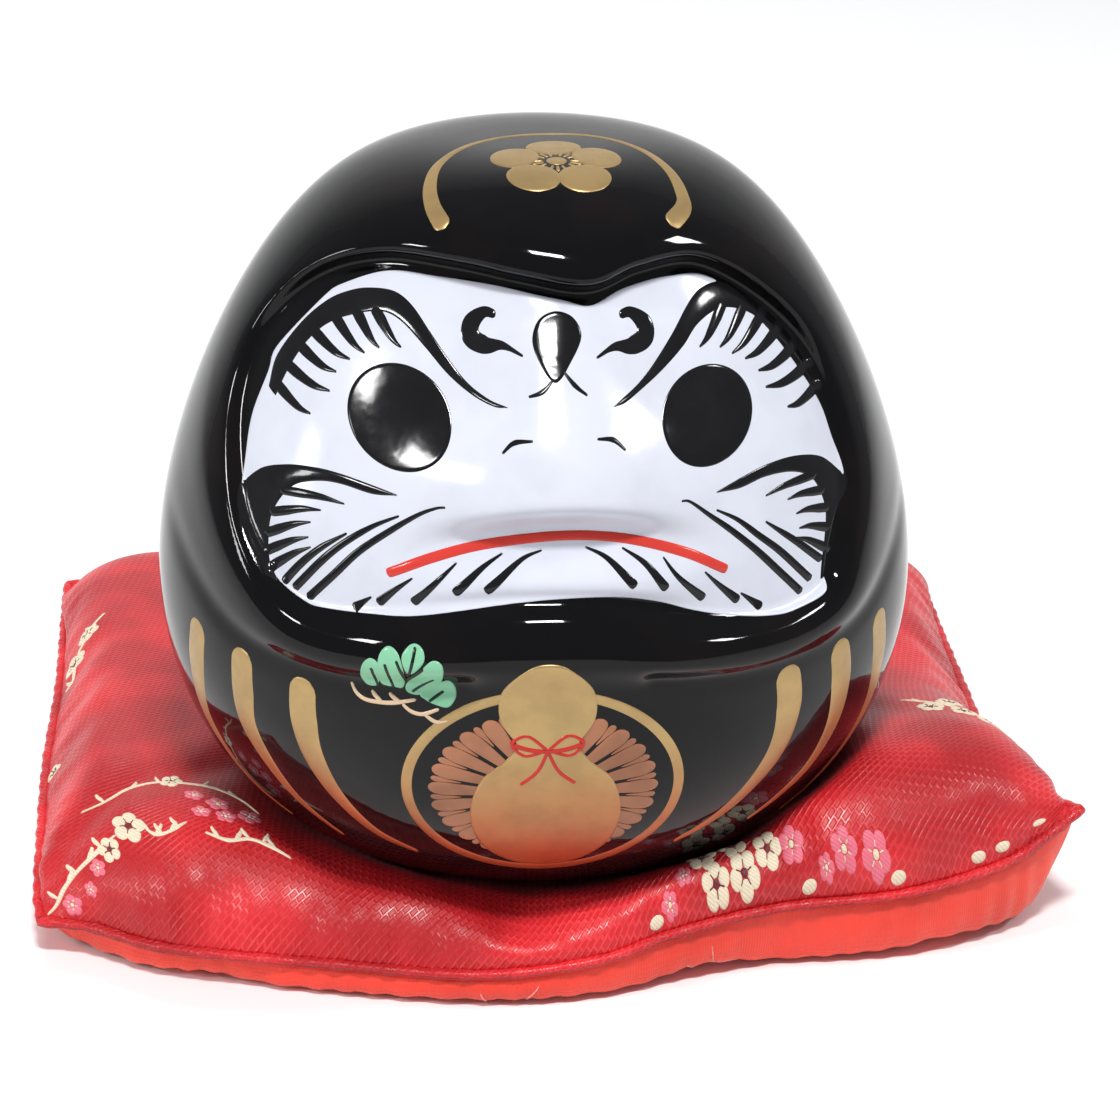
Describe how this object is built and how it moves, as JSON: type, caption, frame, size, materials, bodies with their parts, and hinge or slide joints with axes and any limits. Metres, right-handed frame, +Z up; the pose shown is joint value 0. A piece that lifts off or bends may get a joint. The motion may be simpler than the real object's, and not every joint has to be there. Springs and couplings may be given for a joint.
{
  "type": "daruma doll on cushion",
  "caption": "Round black glazed ceramic daruma doll with a sunk painted face, resting on a stuffed square brocade cushion.",
  "frame": {"origin": "on the table, at the middle of the whole object's footprint", "axes": "+Z up, the doll faces -Y, +X to the doll's left hand, which is the viewer's right"},
  "size_m": [0.178, 0.1663, 0.1345],
  "materials": {
    "glaze": "glossy black glaze with painted enamel and gold",
    "brocade": "woven red brocade",
    "lining": "plain orange red satin",
    "wadding": "loose fibre filling"
  },
  "bodies": {
    "cushion": {"cushion_top_panel": "brocade", "cushion_base_panel": "lining", "cushion_wadding": "wadding"},
    "doll": {"ceramic_shell": "glaze"}
  },
  "joints": [
    {"name": "doll_lift", "type": "slide", "parent": "cushion", "child": "doll", "axis": [0, 0, 1], "range_m": [0, 0.15]}
  ]
}
